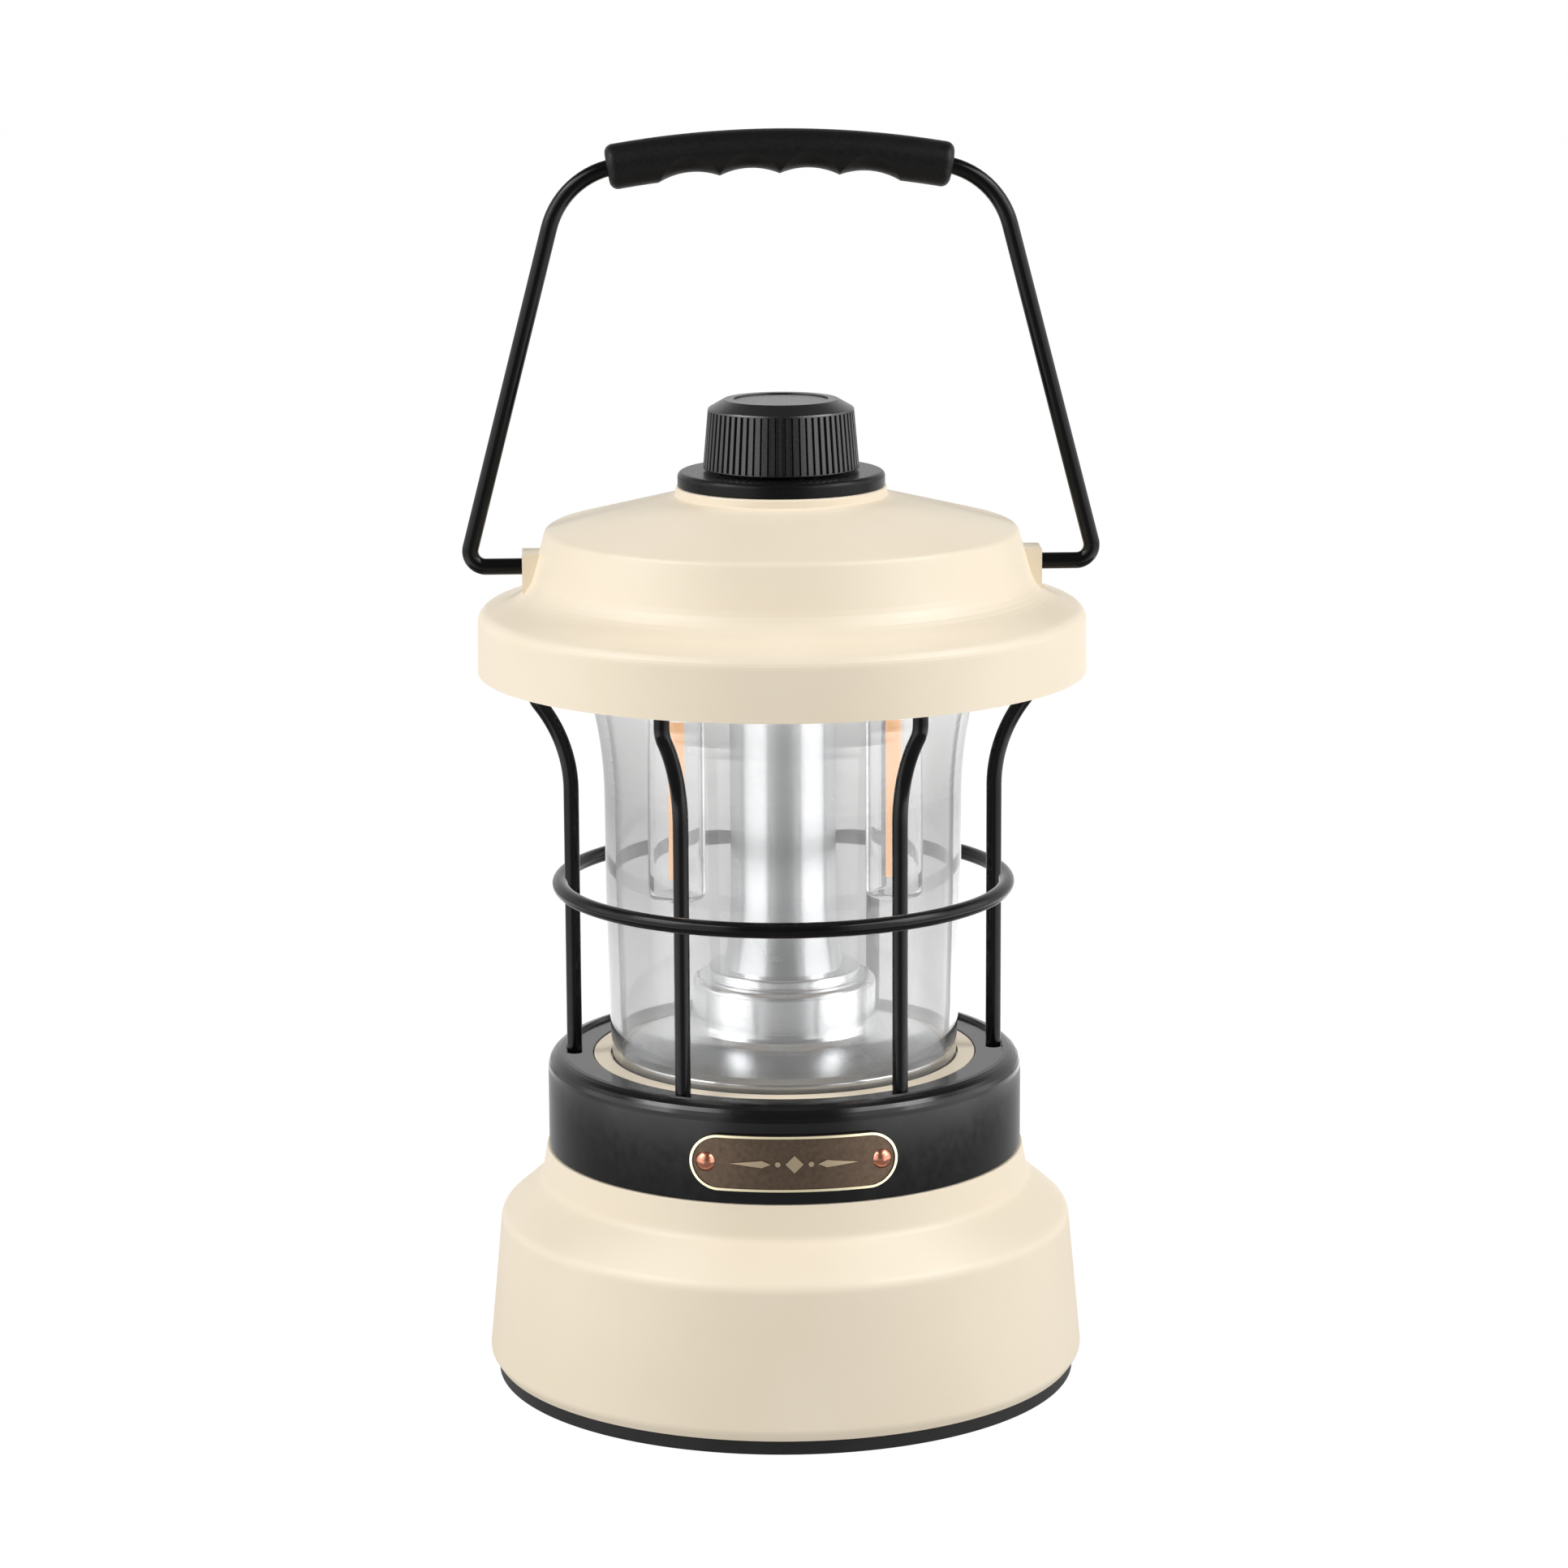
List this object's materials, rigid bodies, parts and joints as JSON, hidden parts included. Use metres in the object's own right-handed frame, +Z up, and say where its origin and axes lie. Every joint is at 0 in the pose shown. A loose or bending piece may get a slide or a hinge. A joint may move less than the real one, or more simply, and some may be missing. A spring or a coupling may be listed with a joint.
{
  "type": "camping lantern table lamp",
  "caption": "Camping lantern table lamp: round plastic base and cap, dark band, wire cage round a clear globe, light tubes about a bright column, dimmer knob and a wire bail with a grip.",
  "frame": {"origin": "centre of the foot ring's flat underside, on the table", "axes": "+Z up along the lamp's axis; the name plate faces -Y and the charging socket +Y; the bail's pins lie along X"},
  "size_m": [0.1324, 0.1266, 0.2628],
  "materials": {
    "cream_shell": "moulded, fine satin",
    "black_band": "gloss",
    "black_plastic": "fine spark-eroded grain",
    "black_rubber": "matt",
    "clear_globe": "clear, polished",
    "clear_tube": "clear, polished",
    "black_wire": "gloss lacquer on steel wire",
    "mirror_metal": "bright spun",
    "cell": null,
    "bronze_plate": "dark antiqued field, rubbed raised edge",
    "copper_rivet": "copper wash",
    "steel": "plain",
    "white_plastic": "moulded",
    "board": "green solder mask",
    "filament": "yellow-orange phosphor over its chips",
    "wire_sheath": "smooth",
    "lead_sheath": "smooth",
    "light_pipe": "clear"
  },
  "bodies": {
    "lamp": {"foot_ring": "black_rubber", "bottom_cover": "black_plastic", "bottom_screws": "steel", "base_shell": "cream_shell", "band": "black_band", "name_plate": "bronze_plate", "plate_rivets": "copper_rivet", "battery_tray": "black_plastic", "battery_cell_1": "cell", "battery_cell_2": "cell", "battery_contacts": "steel", "charge_board": "board", "board_screws": "steel", "usb_port": "steel", "charge_light": "light_pipe", "battery_lead": "wire_sheath", "main_lead": "lead_sheath", "reflector_base": "mirror_metal", "reflector_screws": "steel", "reflector_column": "mirror_metal", "globe": "clear_globe", "cage_ring": "black_wire", "cage_upright_1": "black_wire", "cage_upright_2": "black_wire", "cage_upright_3": "black_wire", "cage_upright_4": "black_wire", "cage_upright_5": "black_wire", "cage_upright_6": "black_wire", "head_plate": "white_plastic", "head_screws": "steel", "driver_board": "board", "driver_screws": "steel", "dimmer_wires": "wire_sheath", "led_socket_1": "white_plastic", "led_socket_2": "white_plastic", "led_socket_3": "white_plastic", "led_tube_1": "clear_tube", "led_tube_2": "clear_tube", "led_tube_3": "clear_tube", "led_filament_1": "filament", "led_filament_2": "filament", "led_filament_3": "filament", "cap": "cream_shell", "knob_bezel": "black_band", "dimmer_body": "steel", "dimmer_nut": "steel"},
    "bail": {"bail": "black_wire", "grip": "black_rubber"},
    "knob": {"knob": "black_plastic", "dimmer_shaft": "steel"}
  },
  "joints": [
    {"name": "bail_swing", "type": "hinge", "parent": "lamp", "child": "bail", "pos_m": [0, 0, 0.173], "axis": [1, 0, 0], "range_deg": [-105, 105]},
    {"name": "dimmer_turn", "type": "hinge", "parent": "lamp", "child": "knob", "pos_m": [0, 0, 0.2], "axis": [0, 0, -1], "range_deg": [0, 300]}
  ]
}
